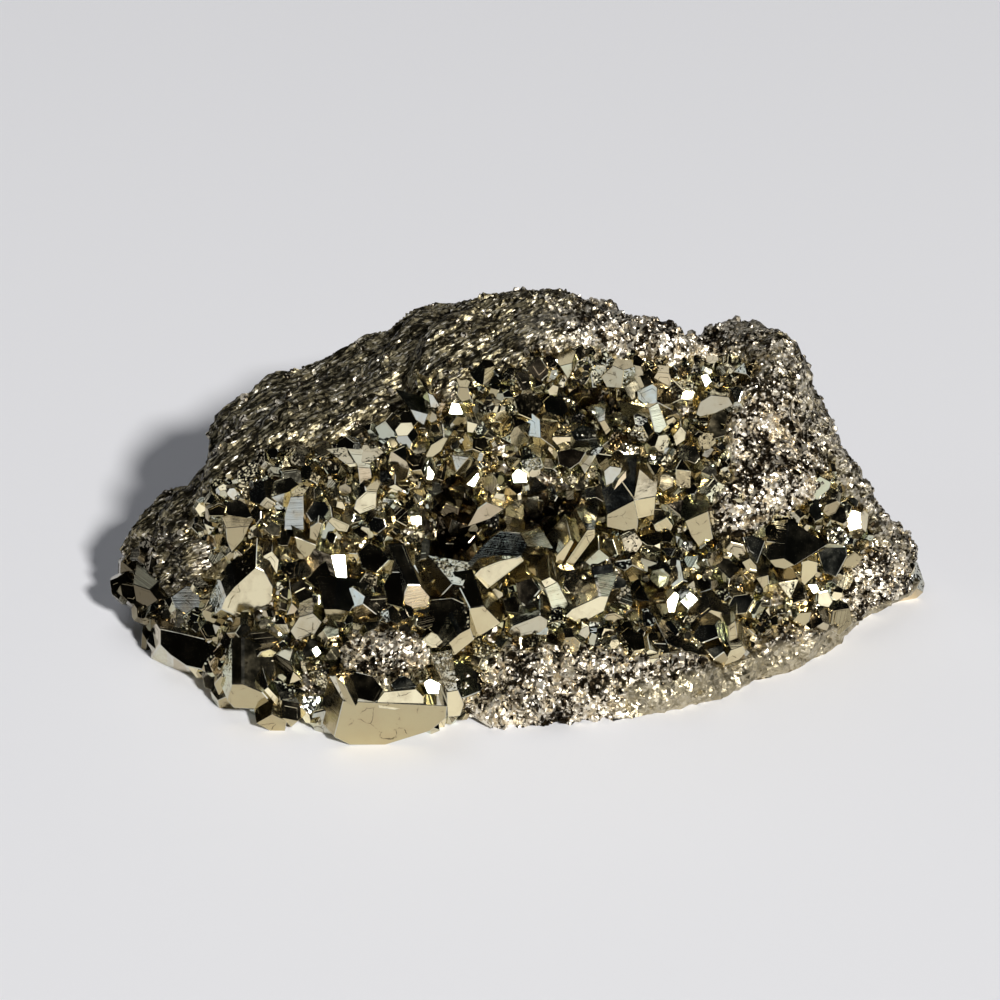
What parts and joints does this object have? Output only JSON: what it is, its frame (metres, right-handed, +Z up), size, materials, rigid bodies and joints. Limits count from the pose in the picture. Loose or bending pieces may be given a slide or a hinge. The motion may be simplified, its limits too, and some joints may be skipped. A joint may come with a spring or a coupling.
{
  "type": "pyrite specimen",
  "caption": "Hand-sized lump of massive pyrite with a domed, broken back and a front crusted with intergrown metallic crystals, cut flat underneath to rest on a surface.",
  "frame": {"origin": "middle of the specimen's box, on the flat that it rests on", "axes": "+X to the right of someone who faces the crystals and along the longest side, +Y from the crystals to the back, +Z up"},
  "size_m": [0.1064, 0.0703, 0.0409],
  "materials": {
    "pyrite": "bare pale brass-yellow pyrite: mirror-bright crystal faces, striated and slightly tarnished in places, with granular and slaty broken surfaces around them"
  },
  "bodies": {
    "root": {"pyrite_cluster": "pyrite"}
  },
  "joints": []
}
